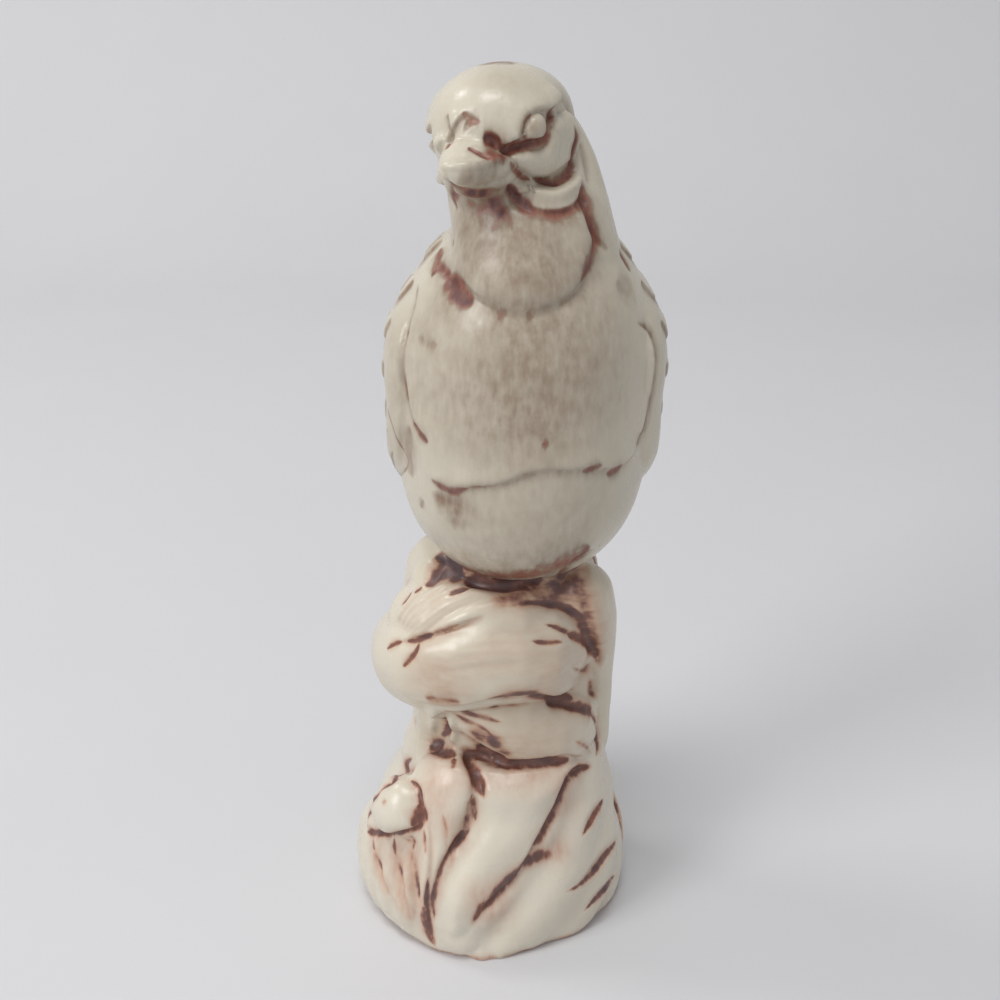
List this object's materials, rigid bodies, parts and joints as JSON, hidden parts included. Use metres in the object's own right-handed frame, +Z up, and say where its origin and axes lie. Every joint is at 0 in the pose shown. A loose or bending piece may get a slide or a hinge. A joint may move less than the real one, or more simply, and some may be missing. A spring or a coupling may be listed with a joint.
{
  "type": "bird figurine",
  "caption": "Upright glazed earthenware songbird with its head turned, perched on a gnarled stump of thick coiled roots; stands on a flat unglazed foot.",
  "frame": {"origin": "on the table under the middle of the stump, on the flat foot", "axes": "+Z up, -Y the way the breast faces, +X the bird's left"},
  "size_m": [0.0696, 0.06, 0.195],
  "materials": {
    "ivory_glaze": "gloss glaze",
    "shaded_glaze": "gloss glaze, darker in the bark",
    "tan_glaze": "gloss glaze over a tan stain"
  },
  "bodies": {
    "root": {"root_plinth": "ivory_glaze", "root_tongue": "ivory_glaze", "bark_flutes": "tan_glaze", "bud": "ivory_glaze", "trunk": "shaded_glaze", "side_root": "ivory_glaze", "lower_coil": "ivory_glaze", "main_coil": "ivory_glaze", "top_coil": "ivory_glaze", "body": "ivory_glaze", "neck": "ivory_glaze", "head": "ivory_glaze", "beak_upper": "ivory_glaze", "beak_lower": "tan_glaze", "eye_left": "ivory_glaze", "cheek_left": "ivory_glaze", "ruff_left": "ivory_glaze", "wing_left": "ivory_glaze", "eye_right": "ivory_glaze", "cheek_right": "ivory_glaze", "ruff_right": "ivory_glaze", "wing_right": "ivory_glaze", "tail": "ivory_glaze", "curl_outer": "ivory_glaze", "curl_inner": "ivory_glaze"}
  },
  "joints": []
}
